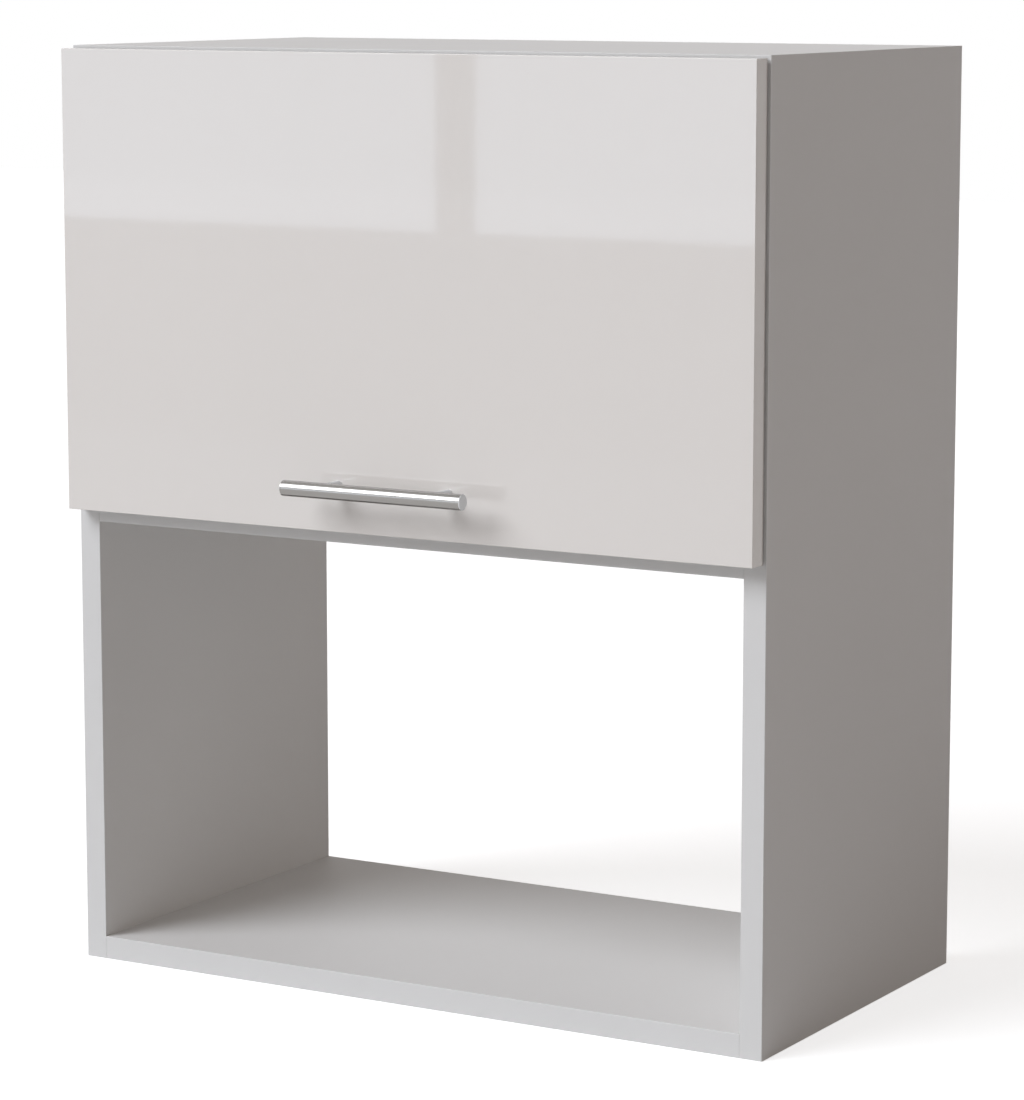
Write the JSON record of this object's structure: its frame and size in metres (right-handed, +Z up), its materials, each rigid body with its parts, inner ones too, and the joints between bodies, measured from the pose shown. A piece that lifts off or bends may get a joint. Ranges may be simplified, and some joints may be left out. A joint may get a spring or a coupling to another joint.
{
  "type": "microwave cabinet",
  "caption": "White wall-hung kitchen cabinet: an open niche for a microwave oven below a closed compartment with a lift-up gloss flap and bar handle.",
  "frame": {"origin": "centre of the carcass's underside (the flap and handle in front are not counted)", "axes": "+Z up, +Y towards the wall, +X to the right of someone facing the flap"},
  "size_m": [0.6, 0.377, 0.72],
  "materials": {
    "melamine_board": "white melamine-faced chipboard, satin",
    "hardboard": "white-lacquered hardboard, brown rear face",
    "edge_band": "white edge banding, satin",
    "cast_zinc": "die-cast zinc, tumbled",
    "plated_steel": "nickel-plated pressed steel",
    "beech": "beech, fluted and unfinished",
    "housing_plastic": "white moulded plastic",
    "flap_board": "fibreboard with white melamine back",
    "gloss_film": "white high-gloss film",
    "handle_steel": "brushed stainless steel",
    "bumper_rubber": "soft clear elastomer",
    "strut_lacquer": "silver-grey lacquered steel",
    "strut_chrome": "ground and hard-chromed steel",
    "socket_plastic": "black moulded plastic"
  },
  "bodies": {
    "cabinet": {"side_panel_left": "melamine_board", "side_panel_right": "melamine_board", "top_panel": "melamine_board", "bottom_panel": "melamine_board", "middle_shelf": "melamine_board", "back_panel": "hardboard", "edge_band_left": "edge_band", "edge_band_right": "edge_band", "edge_band_top": "edge_band", "edge_band_middle": "edge_band", "edge_band_bottom": "edge_band", "cam_locks": "cast_zinc", "cam_bolts": "plated_steel", "wooden_dowels": "beech", "hanger_housing_left": "housing_plastic", "hanger_housing_right": "housing_plastic", "hanger_screws": "plated_steel", "hinge_plate_left": "plated_steel", "hinge_plate_right": "plated_steel", "hinge_plate_screws": "plated_steel", "hinge_arm_left": "plated_steel", "hinge_arm_right": "plated_steel", "hinge_arm_screws": "plated_steel", "strut_side_bracket_left": "plated_steel", "strut_side_bracket_right": "plated_steel", "strut_side_screws": "plated_steel", "strut_base_stud_left": "plated_steel", "strut_base_stud_right": "plated_steel"},
    "flap": {"door_core": "flap_board", "door_film": "gloss_film", "handle_bar": "handle_steel", "handle_post_left": "handle_steel", "handle_post_right": "handle_steel", "handle_screws": "plated_steel", "door_bumpers": "bumper_rubber", "hinge_cup_left": "cast_zinc", "hinge_cup_right": "cast_zinc", "hinge_cup_screws": "plated_steel", "hinge_pin_left": "plated_steel", "hinge_pin_right": "plated_steel", "strut_door_bracket_left": "plated_steel", "strut_door_bracket_right": "plated_steel", "strut_door_screws": "plated_steel"},
    "strut_tube_left": {"strut_cylinder_left": "strut_lacquer", "strut_base_socket_left": "socket_plastic"},
    "strut_piston_left": {"strut_rod_left": "strut_chrome", "strut_rod_socket_left": "socket_plastic", "strut_rod_stud_left": "plated_steel"},
    "hook_left": {"hanger_hook_left": "plated_steel"},
    "spindle_left": {"hanger_spindle_left": "plated_steel"},
    "strut_tube_right": {"strut_cylinder_right": "strut_lacquer", "strut_base_socket_right": "socket_plastic"},
    "strut_piston_right": {"strut_rod_right": "strut_chrome", "strut_rod_socket_right": "socket_plastic", "strut_rod_stud_right": "plated_steel"},
    "hook_right": {"hanger_hook_right": "plated_steel"},
    "spindle_right": {"hanger_spindle_right": "plated_steel"}
  },
  "joints": [
    {"name": "flap_lift", "type": "hinge", "parent": "cabinet", "child": "flap", "pos_m": [0, -0.1745, 0.712], "axis": [-1, 0, 0], "range_deg": [0, 85]},
    {"name": "strut_left_swing", "type": "hinge", "parent": "cabinet", "child": "strut_tube_left", "pos_m": [-0.264, 0.00488, 0.58808], "axis": [1, 0, 0], "range_deg": [-0.05, 6.01]},
    {"name": "strut_left_extend", "type": "slide", "parent": "strut_tube_left", "child": "strut_piston_left", "axis": [0, -0.8957, 0.4446], "range_m": [-0.0002, 0.08195]},
    {"name": "hanger_left_lift", "type": "slide", "parent": "cabinet", "child": "hook_left", "axis": [0, 0, 1], "range_m": [-0.005, 0.005]},
    {"name": "hanger_left_turn", "type": "hinge", "parent": "cabinet", "child": "spindle_left", "pos_m": [-0.26985, 0.10595, 0.665], "axis": [0, 0, 1], "range_deg": [-2571.9, 2571.9]},
    {"name": "strut_right_swing", "type": "hinge", "parent": "cabinet", "child": "strut_tube_right", "pos_m": [0.264, 0.00488, 0.58808], "axis": [1, 0, 0], "range_deg": [-0.05, 6.01]},
    {"name": "strut_right_extend", "type": "slide", "parent": "strut_tube_right", "child": "strut_piston_right", "axis": [0, -0.8957, 0.4446], "range_m": [-0.0002, 0.08195]},
    {"name": "hanger_right_lift", "type": "slide", "parent": "cabinet", "child": "hook_right", "axis": [0, 0, 1], "range_m": [-0.005, 0.005]},
    {"name": "hanger_right_turn", "type": "hinge", "parent": "cabinet", "child": "spindle_right", "pos_m": [0.26985, 0.10595, 0.665], "axis": [0, 0, 1], "range_deg": [-2571.9, 2571.9]}
  ],
  "couplings": [
    {"joint": "strut_left_swing", "follows": "flap_lift", "ratio": 0.070171},
    {"joint": "strut_left_extend", "follows": "flap_lift", "m_per_rad": 0.055106},
    {"joint": "hanger_left_turn", "follows": "hanger_left_lift", "rad_per_m": 8976},
    {"joint": "strut_right_swing", "follows": "flap_lift", "ratio": 0.070171},
    {"joint": "strut_right_extend", "follows": "flap_lift", "m_per_rad": 0.055106},
    {"joint": "hanger_right_turn", "follows": "hanger_right_lift", "rad_per_m": 8976}
  ]
}
